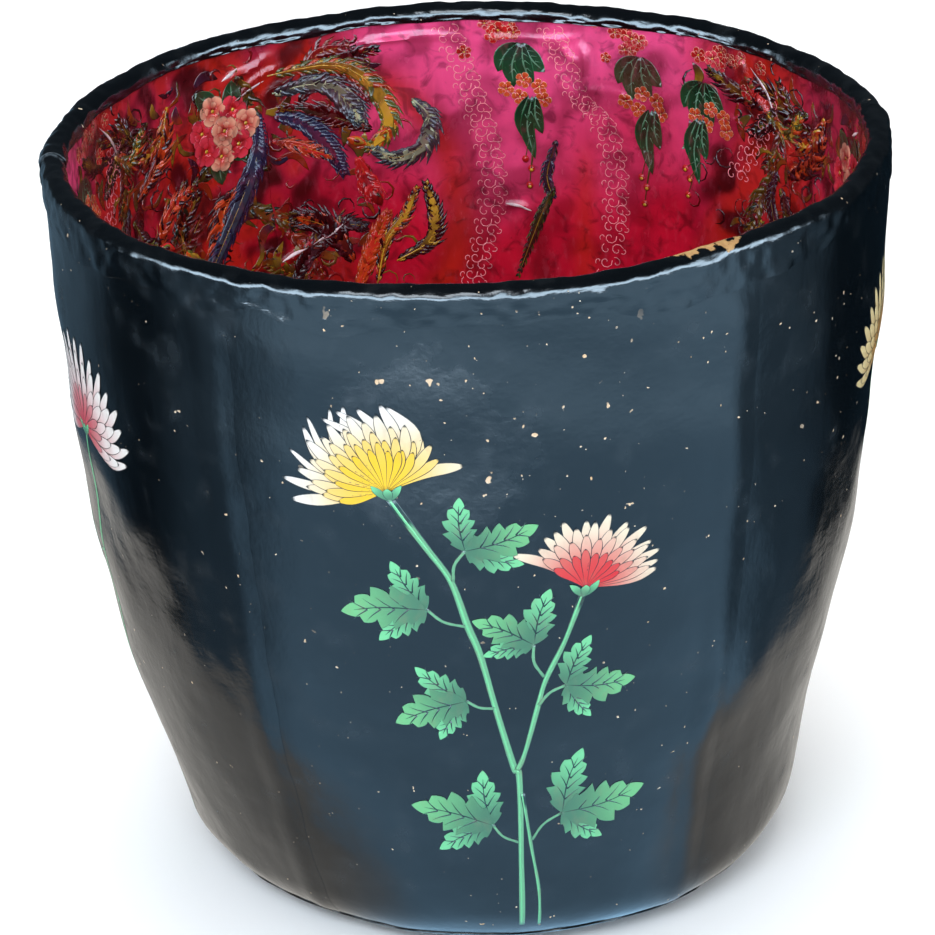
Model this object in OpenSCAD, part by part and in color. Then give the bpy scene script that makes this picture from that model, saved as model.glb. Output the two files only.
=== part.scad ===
// Round tub of laminated papier-mache with a bowed, tapering wall and a rounded foot.
// A thick moulded core carries a skin of black lacquered paper sheets outside, a lining
// of printed paper panels inside, a folded strip round the rim and a cap under the base.
// Millimetres. The origin is the centre of the base, on the surface that the tub stands on.

/* [Tub] */
// Diameter across the rim, outside of the binding
rim_d = 400; // [320:5:480]
// Height from the base to the crown of the rim
tub_h = 365; // [280:5:440]
// Radius of the wall's bow, from foot to rim
wall_bow_r = 1150; // [900:10:1600]
// Radius of the rounded foot
foot_r = 40; // [25:1:60]

/* [Core] */
// Thickness of the moulded papier-mache
core_t = 9; // [5:0.5:12]

/* [Lacquered covering] */
// Number of sheets round the tub
cover_count = 5; // [3:1:8]
// Thickness of a lacquered sheet
cover_t = 0.8; // [0.5:0.1:1.5]
// Width of the lap where one sheet passes over the next
cover_lap = 12; // [6:1:20]
// How far the sheets turn in under the base
cover_turn = 20; // [10:1:30]
// Direction of the first seam, counted from +X
cover_start = -126; // [-180:1:180]

/* [Printed lining] */
// Number of panels round the inside
lining_count = 6; // [3:1:8]
// Thickness of a panel
lining_t = 0.4; // [0.2:0.1:0.8]
// Width of the lap where one panel passes over the next
lining_lap = 8; // [4:1:16]
// How far the panels turn in onto the floor
lining_turn = 14; // [8:1:25]
// Direction of the first seam, counted from +X
lining_start = 0; // [-180:1:180]

/* [Rim binding] */
// Thickness of the folded strip
binding_t = 0.8; // [0.5:0.1:1.5]
// Depth of the strip down the outside
binding_outside = 14; // [8:1:25]
// Depth of the strip down the inside
binding_inside = 6; // [4:1:15]
// Width of the lap at each end of a strip
binding_lap = 10; // [5:1:20]

/* [Base cap] */
// Thickness of the lacquered cap
cap_t = 0.8; // [0.5:0.1:1.5]
// Height of the cap's edge, up the rounded foot
cap_lip_h = 9; // [5:0.5:16]

/* [Fit] */
// Gap kept between the edge of one pasted layer and the next
paste_gap = 0.3; // [0.2:0.1:1]

/* [Hidden] */
BINDINGS = ["rim_binding_back", "rim_binding_front"];
$fn = 120;

lacquer_black = "#141a20";
print_pink = "#c81e5a";
pulp_tan = "#b79a6c";

wall_steps = 20;   // straight stretches that the wall's bow is drawn with
foot_steps = 5;    // the same for each half of the rounded foot
crown_steps = 12;  // the same for the half-round crown of the rim

// The skin is the outer face of the lacquered sheets. Every layer is an offset of it:
// positive outwards, negative into the wall.
rim_half = (2 * binding_t + cover_t + core_t + lining_t) / 2;
spring_z = tub_h - rim_half;              // where the wall ends and the crown begins
skin_rim_r = rim_d / 2 - binding_t;
bow_x = skin_rim_r - wall_bow_r;          // centre of the wall's bow
foot_z = cap_t + foot_r;                  // centre of the foot's rounding
foot_x = bow_x + sqrt(pow(wall_bow_r - foot_r, 2) - pow(spring_z - foot_z, 2));
meet_a = asin((spring_z - foot_z) / (wall_bow_r - foot_r));  // where bow and foot meet
lip_a = asin((cap_lip_h - foot_z) / foot_r);                 // edge of the base cap

core_outside = -cover_t;
core_inside = -cover_t - core_t;
lining_inside = core_inside - lining_t;
core_crown = [skin_rim_r - cover_t - core_t / 2, spring_z];
rim_crown = [rim_d / 2 - rim_half, spring_z];
floor_z = cap_t - core_inside;            // top of the core's floor
turn_r = foot_x - cover_turn;             // ends of the lacquered sheets under the base
tab_r = foot_x - lining_turn;             // ends of the printed panels on the floor

// Under the crown lies one straight band, long enough for both legs of the binding.
band_h = max(binding_outside, binding_inside) + 2;
band_a = asin(band_h / wall_bow_r);
lap_root = 1;                             // degrees of a sheet's end that hold its lap
paste_t = 0.05;                           // film of paste under a lap

function after(a, b, steps) = [for (i = [1 : steps]) a + (b - a) * i / steps];
function reversed(points) = [for (i = [len(points) - 1 : -1 : 0]) points[i]];
function arc_at(centre, r, a) = centre + r * [cos(a), sin(a)];
function arc_width_a(width, r) = width / r * 180 / PI;
function crown_line(centre, r) =
    [for (i = [0 : crown_steps]) arc_at(centre, r, 180 * i / crown_steps)];

// Points on one offset of the skin, as [radius, height].
function wall_at(offset, a) = arc_at([bow_x, spring_z], wall_bow_r + offset, a);
function foot_at(offset, a) = arc_at([foot_x, foot_z], foot_r + offset, a);
function band_at(offset, depth) =
    wall_at(offset, 0) + (wall_at(offset, -band_a) - wall_at(offset, 0)) * depth / band_h;

// From the lower end of the band to the cap's edge, and from there in under the base.
function upper_line(offset) = concat(
    [wall_at(offset, -band_a)],
    [for (a = after(-band_a, -meet_a, wall_steps)) wall_at(offset, a)],
    [for (a = after(-meet_a, lip_a, foot_steps)) foot_at(offset, a)]
);
function lower_line(offset) = [for (a = after(lip_a, -90, foot_steps)) foot_at(offset, a)];
function side_line(offset) =
    concat([wall_at(offset, 0)], upper_line(offset), lower_line(offset));

// The same side without its last point, ending a paste gap short of the cap's edge.
function short_line(offset) = let (
    points = upper_line(offset),
    last = len(points) - 1,
    edge = points[last],
    back = points[last - 1] - edge
) concat([for (i = [0 : last - 1]) points[i]], [edge + back * paste_gap / norm(back)]);

// The outside of the binding, from its outer edge over the crown to its inner edge.
function binding_line(grow, trim) = concat(
    [band_at(binding_t + grow, binding_outside - trim)],
    crown_line(rim_crown, rim_half + grow),
    [band_at(lining_inside - binding_t - grow, binding_inside - trim)]
);

// A ring sector with this section, from one direction to the next.
module sector(from_a, sweep_a) {
    rotate([0, 0, from_a]) rotate_extrude(angle = sweep_a) children();
}

// A sheet and its lap, from three sections: the sheet, its lap and the room for the next
// sheet. The lap is rooted in the end of its own sheet and passes over the next one.
module lapped_sheet(from_a, sweep_a, lap_width) {
    seam_a = from_a + sweep_a;
    gap_a = arc_width_a(paste_gap, skin_rim_r);
    lap_a = arc_width_a(lap_width, skin_rim_r);
    sector(from_a + gap_a, sweep_a - gap_a) children(0);
    difference() {
        sector(seam_a - lap_root, lap_root + lap_a) children(1);
        sector(seam_a + gap_a / 2, lap_a + lap_root) children(2);
    }
}

// The core's underside stands out in the middle, level with the turned-in sheets.
module core_section() {
    polygon(concat(
        side_line(core_outside),
        [[turn_r, cap_t + cover_t], [turn_r, cap_t], [0, cap_t], [0, floor_z]],
        reversed(side_line(core_inside)),
        reversed([for (i = [1 : crown_steps - 1])
            arc_at(core_crown, core_t / 2, 180 * i / crown_steps)])
    ));
}

module cover_section() {
    polygon(concat(
        side_line(0),
        [[turn_r, cap_t], [turn_r, cap_t + cover_t]],
        reversed(side_line(core_outside))
    ));
}

module cover_lap_section() {
    edge = binding_outside + paste_gap;
    polygon(concat(
        [band_at(cover_t, edge)],
        short_line(cover_t),
        reversed(short_line(-cover_t / 2)),
        [band_at(-cover_t / 2, edge)]
    ));
}

module cover_room_section() {
    polygon(concat(side_line(paste_t), reversed(side_line(-cover_t))));
}

module lining_section() {
    polygon(concat(
        side_line(core_inside),
        [[tab_r, floor_z], [tab_r, floor_z + lining_t]],
        reversed(side_line(lining_inside))
    ));
}

module lining_lap_section() {
    edge = binding_inside + paste_gap;
    root = lining_inside + lining_t / 2;
    face = lining_inside - lining_t;
    polygon(concat(
        [band_at(root, edge)],
        upper_line(root),
        lower_line(root),
        reversed(lower_line(face)),
        reversed(upper_line(face)),
        [band_at(face, edge)]
    ));
}

module lining_room_section() {
    polygon(concat(
        side_line(core_inside),
        [[tab_r, floor_z], [tab_r, floor_z + lining_t + paste_t]],
        reversed(side_line(lining_inside - paste_t))
    ));
}

module binding_section() {
    polygon(concat(
        binding_line(0, 0),
        [band_at(lining_inside, binding_inside), wall_at(lining_inside, 0)],
        reversed(crown_line(core_crown, core_t / 2)),
        [wall_at(0, 0), band_at(0, binding_outside)]
    ));
}

module binding_lap_section() {
    polygon(concat(
        binding_line(binding_t, paste_gap),
        reversed(binding_line(-binding_t / 2, paste_gap))
    ));
}

module binding_room_section() {
    polygon(concat(binding_line(paste_t, -1), reversed(binding_line(-binding_t, -1))));
}

module core_shell() {
    color(pulp_tan) rotate_extrude() core_section();
}

module base_cap() {
    color(lacquer_black) rotate_extrude() polygon(concat(
        [foot_at(cap_t, lip_a)],
        lower_line(cap_t),
        [[0, 0], [0, cap_t]],
        reversed(lower_line(0)),
        [foot_at(0, lip_a)]
    ));
}

// A disc of lining paper that steps up over the turned-in ends of the panels.
module floor_lining() {
    edge_r = foot_x - paste_gap;
    step_z = floor_z + lining_t;
    color(print_pink) rotate_extrude() polygon([
        [0, floor_z],
        [tab_r, floor_z],
        [tab_r, step_z],
        [edge_r, step_z],
        [edge_r, step_z + lining_t],
        [tab_r - lining_t, step_z + lining_t],
        [tab_r - lining_t, step_z],
        [0, step_z]
    ]);
}

module cover_sheet(index) {
    sheet_a = 360 / cover_count;
    color(lacquer_black)
        lapped_sheet(cover_start + (index - 1) * sheet_a, sheet_a, cover_lap) {
            cover_section();
            cover_lap_section();
            cover_room_section();
        }
}

module lining_panel(index) {
    panel_a = 360 / lining_count;
    color(print_pink)
        lapped_sheet(lining_start + (index - 1) * panel_a, panel_a, lining_lap) {
            lining_section();
            lining_lap_section();
            lining_room_section();
        }
}

module rim_binding(index) {
    strip_a = 360 / len(BINDINGS);
    color(lacquer_black)
        lapped_sheet(index * strip_a, strip_a, binding_lap) {
            binding_section();
            binding_lap_section();
            binding_room_section();
        }
}

core_shell();
base_cap();
floor_lining();
for (i = [0 : len(BINDINGS) - 1])
    rim_binding(i);
for (i = [1 : cover_count])
    cover_sheet(i);
for (i = [1 : lining_count])
    lining_panel(i);
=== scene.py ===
# %% [markdown]
# # A lacquered papier-mache tub
# The tub is a thick shell of moulded paper pulp. Black lacquered paper is pasted round the
# outside and painted with chrysanthemums, printed paper lines the inside, a folded strip
# binds the rim and a cap closes the base. The CAD solids are true rounds. Here each of
# them is made again as the uneven, hand-pasted thing that it is.

# %% Load the frame
import math

import bmesh
import bpy
import numpy as np
from mathutils import Matrix, Vector


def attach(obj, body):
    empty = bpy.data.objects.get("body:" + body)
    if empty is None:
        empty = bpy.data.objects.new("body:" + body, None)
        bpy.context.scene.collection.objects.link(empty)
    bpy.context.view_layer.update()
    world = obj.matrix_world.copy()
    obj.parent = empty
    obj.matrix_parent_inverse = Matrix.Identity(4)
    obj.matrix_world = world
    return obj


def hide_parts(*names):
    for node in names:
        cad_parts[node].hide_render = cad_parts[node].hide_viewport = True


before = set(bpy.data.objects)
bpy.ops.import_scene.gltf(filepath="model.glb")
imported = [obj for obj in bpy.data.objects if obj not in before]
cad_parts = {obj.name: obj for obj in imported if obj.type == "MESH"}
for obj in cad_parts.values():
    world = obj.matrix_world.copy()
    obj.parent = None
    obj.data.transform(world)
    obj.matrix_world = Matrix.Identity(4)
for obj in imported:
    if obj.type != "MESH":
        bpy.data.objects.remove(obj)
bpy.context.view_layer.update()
MM = 0.001
TAU = 2 * math.pi

# %% [markdown]
# ## Camera
# A long lens from two metres away looks down into the mouth, so that the lining shows over
# the front rim. The camera's axes are written out as a matrix, because a small roll about
# the line of sight is easier to state that way than as three turns.

# %% Place the camera
DISTANCE = 2.0
DOWN = math.radians(24.37)
ROLL = math.radians(-2.17)
AIM = Vector((-0.0045, 0.0, 0.1907))

ahead = Vector((0, math.cos(DOWN), -math.sin(DOWN)))
level = Vector((1, 0, 0))
upright = level.cross(ahead)
side = level * math.cos(ROLL) + upright * math.sin(ROLL)
top = upright * math.cos(ROLL) - level * math.sin(ROLL)
lens = bpy.data.cameras.new("camera")
lens.sensor_width, lens.lens = 36, 157.66
camera = bpy.data.objects.new("camera", lens)
camera.matrix_world = (
    Matrix.Translation(AIM - ahead * DISTANCE)
    @ Matrix((side, top, -ahead)).transposed().to_4x4()
)
bpy.context.collection.objects.link(camera)
bpy.context.scene.camera = camera
bpy.context.scene.view_settings.view_transform = "Standard"
print("camera at", tuple(round(v, 3) for v in camera.matrix_world.translation))

# %% [markdown]
# ## The outline
# Every layer of the wall is an offset of one line, the skin: a long bow from the rim to a
# rounded foot, then the flat of the base. One number, the distance down the skin, finds a
# point on it, and an offset moves that point out of the wall or into it. So a drawing
# on the wall, a sheet's edge and a wrinkle can all be placed with the same two numbers: a
# direction round the tub and a distance down the skin.

# %% Work out the skin
RIM_R = 0.2
HEIGHT = 0.365
BOW_R, FOOT_R = 1.15, 0.04
BINDING_T, COVER_T, CORE_T, LINING_T = 0.8 * MM, 0.8 * MM, 9 * MM, 0.4 * MM
CAP_T = 0.8 * MM
RIM_HALF = (2 * BINDING_T + COVER_T + CORE_T + LINING_T) / 2
SPRING_Z = HEIGHT - RIM_HALF
BOW_X = RIM_R - BINDING_T - BOW_R
FOOT_Z = CAP_T + FOOT_R
FOOT_X = BOW_X + math.sqrt((BOW_R - FOOT_R) ** 2 - (SPRING_Z - FOOT_Z) ** 2)
MEET = math.asin((SPRING_Z - FOOT_Z) / (BOW_R - FOOT_R))
WALL_L = BOW_R * MEET
FOOT_L = FOOT_R * (math.pi / 2 - MEET)
CORE_IN = -COVER_T - CORE_T
LINING_IN = CORE_IN - LINING_T


def skin(down, offset):
    """Radius and height of a point of the wall, 'down' along the skin from the rim.
    On the bow and on the foot, the point turns about that arc's centre; on the base, it
    moves straight in towards the middle."""
    a = np.where(down < WALL_L, down / BOW_R, MEET + (down - WALL_L) / FOOT_R)
    a = np.clip(a, 0, math.pi / 2)
    on_wall = down < WALL_L
    flat = np.maximum(down - WALL_L - FOOT_L, 0)
    r = np.where(on_wall, BOW_X + (BOW_R + offset) * np.cos(a),
                 FOOT_X + (FOOT_R + offset) * np.cos(a) - flat)
    z = np.where(on_wall, SPRING_Z - (BOW_R + offset) * np.sin(a),
                 FOOT_Z - (FOOT_R + offset) * np.sin(a))
    return r, z


def down_to(z):
    """Distance down the skin to a height: the length of arc that subtends the drop."""
    z = np.asarray(z, float)
    bow = BOW_R * np.arcsin(np.clip((SPRING_Z - z) / BOW_R, 0, 1))
    foot = WALL_L + FOOT_R * (np.arcsin(np.clip((FOOT_Z - z) / FOOT_R, 0, 1)) - MEET)
    return np.where(bow < WALL_L, bow, foot)


print(f"skin: wall {WALL_L:.3f} m, foot {FOOT_L:.3f} m, foot centre {FOOT_X:.4f} m out")

# %% [markdown]
# ## Hand-made unevenness
# A tub shaped by hand over a mould is never quite round: it leans out in places, it is
# pressed in at others, and all of it is faintly lumpy. One field says how far the wall
# stands out at each place. All layers read the same field, so they stay nested.

# %% Add up waves into noise
def ripple(theta, down, seed, longest, shortest, count=28):
    """Smooth noise about one high: a sum of waves cos(k theta + m down + phase), with k
    whole so that each wave closes on itself round the tub."""
    rng = np.random.default_rng(seed)
    total = 0
    for _ in range(count):
        length = longest * (shortest / longest) ** rng.random()
        turn, phase = rng.random(2) * TAU
        k = round(math.cos(turn) * TAU * RIM_R / length)
        total = total + np.cos(k * theta + math.sin(turn) * TAU / length * down + phase)
    return total / math.sqrt(count / 2)


def around(theta, centre):
    """Angle from a direction, the short way round."""
    return (theta - centre + math.pi) % TAU - math.pi


print("noise at the rim", np.round(ripple(np.radians([0, 90, 180, 270]), 0, 3, 0.16, 0.05), 2))

# %% Describe the unevenness
# direction in degrees, height, spread in degrees, spread in height, how far it stands out
LUMPS = [
    (122, 365, 22, 90, 3.0), (70, 365, 20, 90, -2.2), (180, 300, 22, 60, -1.2),
    (183, 165, 28, 60, 2.0), (-6, 90, 25, 40, -3.0), (-8, 25, 25, 25, 2.0),
    (-3, 225, 20, 35, -1.3), (-50, 12, 28, 28, 3.5), (-130, 12, 25, 28, -3.0),
    (-108, 300, 7, 70, -0.7), (-72, 250, 6, 80, 0.6), (-140, 250, 7, 90, 0.9),
    (-40, 180, 8, 80, -0.7), (-30, 290, 7, 60, 0.7),
]


def unevenness(theta, down):
    """How far the wall stands out: broad lumps, each a bell in both directions, and noise."""
    out = 0.45 * MM * ripple(theta, down, 3, 0.16, 0.05)
    out = out + 0.05 * MM * ripple(theta, down, 4, 0.04, 0.014, 60)
    for angle, height, wide, high, amount in LUMPS:
        u = around(theta, math.radians(angle)) / math.radians(wide)
        v = (down - down_to(height * MM)) / (high * MM)
        out = out + amount * MM * np.exp(-(u * u + v * v) / 2)
    return out


def place(theta, down, offset, above=0.0):
    """Points in space. 'above' is an arc over the rim's crown, in radians from its outer
    side, which takes over from the skin where it is more than nought."""
    theta, down, offset, above = np.broadcast_arrays(theta, down, offset, above)
    r, z = skin(down, offset)
    crown = above > 0
    crown_r = RIM_HALF - BINDING_T + offset
    r = np.where(crown, RIM_R - RIM_HALF + crown_r * np.cos(above), r)
    z = np.where(crown, SPRING_Z + crown_r * np.sin(above), z)
    r = r + unevenness(theta, down) * np.clip(r / FOOT_X, 0, 1)
    rim = np.exp(-down / 0.06)
    z = z + rim * 0.7 * MM * ripple(theta, 0 * down, 9, 0.5, 0.12, 8)
    return np.stack([r * np.cos(theta), r * np.sin(theta), z], -1)


print("stands out", np.round(unevenness(np.radians([0, 90, 180, 270]), 0.1) / MM, 2), "mm")

# %% [markdown]
# ## Sheets of points
# Every layer is a grid of points worked out at once. A sheet of paper has two grids, its
# face and its back, joined along the open edges, so that it is a closed solid that can be
# bevelled and printed. Points that fall on one another, at the middle of a disc, are merged.

# %% Number the corners of a grid
def quads(rows, columns, ring=False):
    """Corner numbers of a grid's squares. A ring's last row joins its first."""
    i = np.arange(rows if ring else rows - 1)[:, None]
    j = np.arange(columns - 1)[None, :]
    a, b = i * columns + j, (i + 1) % rows * columns + j
    return np.stack([a, b, b + 1, a + 1], -1).reshape(-1, 4)


def strip(a, b, ring=False):
    """Squares between two rows of corner numbers that run side by side."""
    ends = (a, np.roll(a, -1), np.roll(b, -1), b)
    squares = np.stack(ends, -1)
    return squares if ring else squares[:-1]


print("a grid of 3 by 3 points has", len(quads(3, 3)), "squares")

# %% Turn points into a mesh
MERGE = 0.002 * MM


def build(name, points, squares, sharp=35):
    """Puts points and squares into a mesh object at the origin, closed and facing out."""
    mesh = bpy.data.meshes.new(name)
    mesh.vertices.add(len(points))
    mesh.vertices.foreach_set("co", np.ascontiguousarray(points, dtype=np.float32).ravel())
    mesh.loops.add(4 * len(squares))
    mesh.loops.foreach_set("vertex_index", squares.astype(np.int32).ravel())
    mesh.polygons.add(len(squares))
    mesh.polygons.foreach_set("loop_start", np.arange(0, 4 * len(squares), 4, dtype=np.int32))
    mesh.update(calc_edges=True)
    mesh.validate()
    soft = bmesh.new()
    soft.from_mesh(mesh)
    bmesh.ops.remove_doubles(soft, verts=soft.verts, dist=MERGE)
    bmesh.ops.recalc_face_normals(soft, faces=soft.faces)
    soft.to_mesh(mesh)
    soft.free()
    mesh.polygons.foreach_set("use_smooth", np.ones(len(mesh.polygons), dtype=bool))
    mesh.set_sharp_from_angle(angle=math.radians(sharp))
    piece = bpy.data.objects.new(name, mesh)
    bpy.context.collection.objects.link(piece)
    return piece


print("points closer than", MERGE / MM, "mm become one")

# %% Close a sheet and round its edges
def closed_sheet(name, face, back, ring=False):
    """A sheet of paper from two grids of the same size, joined along the open edges."""
    rows, columns = face.shape[:2]
    number = np.arange(rows * columns).reshape(rows, columns)
    under = number + rows * columns
    parts = [quads(rows, columns, ring), quads(rows, columns, ring)[:, ::-1] + rows * columns]
    parts += [strip(under[:, 0], number[:, 0], ring), strip(number[:, -1], under[:, -1], ring)]
    if not ring:
        parts += [strip(number[0], under[0]), strip(under[-1], number[-1])]
    points = np.concatenate([face.reshape(-1, 3), back.reshape(-1, 3)])
    return build(name, points, np.concatenate(parts))


def bevel(piece, width):
    """Rounds a sheet's cut edges, so that they catch the light."""
    rounding = piece.modifiers.new("edge", "BEVEL")
    rounding.width, rounding.segments = width, 2
    rounding.limit_method, rounding.angle_limit = "ANGLE", math.radians(50)


def smooth(x, low, high):
    """An S-shaped step from 0 at low to 1 at high: 3t^2 - 2t^3."""
    t = np.clip((x - low) / (high - low), 0, 1)
    return t * t * (3 - 2 * t)


print("halfway up a smooth step:", smooth(0.5, 0, 1))

# %% [markdown]
# ## The pulp core
# The core is a bowl of moulded paper. Its outline runs from the middle of the underside,
# round the foot, up the wall, over the crown, down inside and back to the middle of the
# floor, and is turned once round. The CAD core stays as the collision shape, and
# this one takes its place because the papers follow its lumps.

# %% Make the core
STEP = 2.6 * MM


def spaced(start, stop, step):
    """Evenly spaced values at about the step asked for, with both ends."""
    return np.linspace(start, stop, max(2, int(round(abs(stop - start) / step)) + 1))


def bowl(name, outer, inner, over, rows):
    """A closed bowl from the skin's offsets for its two faces."""
    end = WALL_L + FOOT_L + FOOT_X
    down = spaced(0, end, 4 * STEP)
    arc = np.linspace(0, math.pi, over)[1:-1]
    downs = np.concatenate([down[::-1], 0 * arc, down])
    offsets = np.concatenate([0 * down + outer, 0 * arc + outer, 0 * down + inner])
    arcs = np.concatenate([0 * down, arc, 0 * down])
    theta = np.linspace(0, TAU, rows, endpoint=False)
    points = place(theta[:, None], downs[None], offsets[None], arcs[None])
    return build(name, points.reshape(-1, 3), quads(rows, len(downs), ring=True))


core = bowl("pulp_core", -COVER_T - 0.02 * MM, CORE_IN + 0.02 * MM, 13, 180)
print("core", len(core.data.polygons), "faces")

# %% [markdown]
# ## Lacquered sheets
# The covering is sheets of paper brushed with lacquer. The end of each sheet rides up over
# the beginning of the next, so its offset is a ramp. The torn edges wander a little.

# %% Paste the sheets round the outside
COVERS, COVER_START, COVER_LAP, COVER_TURN = 5, math.radians(-126), 12 * MM, 20 * MM


def wander(down, seed, amount):
    """How far a torn edge strays: a slow wave and a quicker one."""
    rng = np.random.default_rng(seed)
    a, b, c = rng.random(3) * TAU
    wave = np.sin(down * 38 + a) + 0.5 * np.sin(down * 110 + b) + 0.25 * np.sin(down * 300 + c)
    return amount * wave


def lap(past_seam, width, ramp, rise):
    """How far a sheet's end stands off, by its distance past the seam."""
    return rise * smooth(past_seam, -ramp, 0) * (past_seam <= width)


def swell(past):
    """How far a lacquered lap stands off the next sheet: it climbs before the seam and is
    sanded down past it, where the sheet thins to a feather edge."""
    return smooth(past, -14 * MM, 0) * (1 - 0.88 * smooth(past, 1 * MM, COVER_LAP))


def lapped(count, index, start, radius, step, downs, lap_width, seed):
    """The grid of directions for one sheet, from its seam to the end of its lap, and how
    far each point is past the seam, as a length."""
    seam = TAU / count
    width = seam + lap_width / radius
    u = spaced(0, width, step / radius)
    first = start + index * seam
    stray = wander(downs, seed + index, 0.7 * MM / radius)[None]
    theta = first + u[:, None] + stray * (u[:, None] / width) ** 6
    return theta, (u[:, None] - seam) * radius + 0 * stray


def make_cover(index):
    """One lacquered sheet: its back on the core, its face a thickness further out, both
    lifted by the lap where it passes over the next sheet."""
    end = WALL_L + FOOT_L + COVER_TURN
    downs = spaced(0, end, STEP)
    theta, past = lapped(COVERS, index, COVER_START, RIM_R, 3.1 * MM, downs, COVER_LAP, 20)
    fade = smooth(downs, 14 * MM, 24 * MM) * (1 - smooth(downs, end - 60 * MM, end - 35 * MM))
    rise = swell(past) * (COVER_T + 0.05 * MM) * fade[None]
    thin = 1 - 0.9 * smooth(past, 0, COVER_LAP) * fade[None]
    face = place(theta, downs[None], rise)
    back = place(theta, downs[None], rise - COVER_T * thin)
    piece = closed_sheet(f"lacquered_sheet_{index + 1}", face, back)
    bevel(piece, 0.25 * MM)
    return piece


covers = [make_cover(i) for i in range(COVERS)]
print("sheets", [len(piece.data.polygons) for piece in covers])


def outer_face(theta, down):
    """Height of the topmost lacquered paper above the skin, laps included."""
    seam = TAU / COVERS
    past = ((theta - COVER_START) % seam) * RIM_R
    short = past - seam * RIM_R
    end = WALL_L + FOOT_L + COVER_TURN
    fade = smooth(down, 14 * MM, 24 * MM) * (1 - smooth(down, end - 60 * MM, end - 35 * MM))
    rise = np.where(past <= COVER_LAP, swell(past), swell(short))
    return rise * fade * (COVER_T + 0.05 * MM)


# %% [markdown]
# ## Lining
# Six panels of thin printed paper line the inside. Thin paper wrinkles as it is pasted, so
# the visible face has its own field of creases on top of the wall's. Only the face lifts, into
# the hollow, and the back stays down on the core.

# %% Paste the panels inside
PANELS, PANEL_START, PANEL_LAP, PANEL_TURN = 6, 0.0, 8 * MM, 14 * MM
MAP_R = 180


def at(across):
    """Direction of a place inside, from millimetres round to the right of the back's
    middle, measured at MAP_R."""
    return math.pi / 2 - np.asarray(across) / MAP_R


def across_at(theta):
    """The millimetres round to the right of the back's middle at a direction."""
    return around(math.pi / 2 - theta, 0) * MAP_R


# across and height where a fold starts, the same where it ends, its half-width and height
FOLDS = [
    (-122, 341, -98, 350, 1.6, 1.5), (-118, 333, -90, 345, 1.4, 1.2),
    (-112, 325, -84, 336, 1.2, 0.8), (-100, 240, -76, 247, 2.0, 2.0),
    (-76, 247, -62, 254, 1.2, 1.2), (20, 258, 34, 254, 1.6, 1.8),
    (60, 346, 66, 320, 1.8, 1.6), (66, 320, 66, 290, 1.6, 1.3), (48, 345, 60, 336, 1.5, 1.0),
    (52, 323, 100, 319, 1.2, 0.7), (150, 352, 178, 318, 1.8, 1.7), (142, 318, 168, 314, 1.4, 1.0),
    (-50, 352, 4, 346, 2.0, 1.2), (-60, 345, -20, 351, 1.4, 1.0), (10, 345, 60, 350, 1.8, 0.9),
    (176, 340, 190, 300, 2.4, 1.5), (205, 345, 214, 290, 2.6, 1.6), (188, 318, 196, 260, 2.2, 1.2),
    (-160, 350, -140, 330, 2.0, 1.2), (-190, 345, -170, 320, 2.0, 1.2), (100, 352, 108, 300, 1.6, 0.8),
]


def creases(theta, down):
    """How far the lining's face stands off: ridges along the folds, and fine crumpling.
    A ridge is a bell across the fold that fades out towards its ends."""
    out = 0.10 * MM * np.maximum(ripple(theta, down, 11, 0.05, 0.012, 60), -0.5)
    for turn in (0, math.pi):
        x = across_at(theta - turn)
        for x0, z0, x1, z1, wide, high in FOLDS:
            y0, y1 = down_to(z0 * MM) / MM, down_to(z1 * MM) / MM
            y = down / MM
            long = math.hypot(x1 - x0, y1 - y0)
            ux, uy = (x1 - x0) / long, (y1 - y0) / long
            s = ((x - x0) * ux + (y - y0) * uy) / long
            off = (x - x0) * uy - (y - y0) * ux + 1.2 * np.sin(6 * s + x0)
            hill = np.exp(-((off / wide) ** 2)) * smooth(s, -0.15, 0.2) * (1 - smooth(s, 0.7, 1.15))
            out = out + high * MM * hill
    return np.maximum(out, 0)


def make_panel(index):
    """One printed panel. Its back keeps to the core, and only its face takes the creases."""
    end = WALL_L + FOOT_L + PANEL_TURN
    downs = np.concatenate([spaced(0, 0.16, 1.8 * MM), spaced(0.16, end, 3.4 * MM)[1:]])
    theta, past = lapped(PANELS, index, PANEL_START, RIM_R, 2.2 * MM, downs, PANEL_LAP, 40)
    fade = smooth(downs, 5 * MM, 10 * MM)
    rise = lap(past, 1, 5 * MM, LINING_T + 0.05 * MM) * fade[None]
    lift = creases(theta, downs[None]) * fade[None]
    face = place(theta, downs[None], LINING_IN - rise - lift)
    back = place(theta, downs[None], CORE_IN - rise)
    return closed_sheet(f"printed_panel_{index + 1}", face, back)


panels = [make_panel(i) for i in range(PANELS)]
print("panels", [len(piece.data.polygons) for piece in panels])


def inner_face(theta, down):
    """Offset of the topmost printed paper from the skin, laps and creases included."""
    seam = TAU / PANELS
    past = ((theta - PANEL_START) % seam) * RIM_R
    short = past - seam * RIM_R
    fade = smooth(down, 5 * MM, 10 * MM)
    rise = np.where(past <= PANEL_LAP, 1.0, smooth(short, -5 * MM, 0))
    return LINING_IN - (rise * (LINING_T + 0.05 * MM) + creases(theta, down)) * fade


# %% [markdown]
# ## Floor, rim and base
# A disc covers the ends of the panels on the floor. Two strips fold over the rim, with
# ragged edges where they were torn to width. A cap of lacquered paper closes the base.

# %% Make the disc, the strips and the cap
def floor_height(x, y):
    """Heights of the back and the face of the floor's paper: flat, with a step up over the
    ends of the panels, and a face that is bumpy. On the flat, a wave round the tub becomes
    a plain wave, because x over the radius stands in for the direction."""
    step = LINING_T * smooth(np.hypot(x, y), FOOT_X - PANEL_TURN - 1.5 * MM, FOOT_X - PANEL_TURN)
    back = CAP_T - CORE_IN + step
    return back, back + LINING_T + np.maximum(0.12 * MM * ripple(x / RIM_R, y, 31, 0.06, 0.02), 0)


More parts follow.
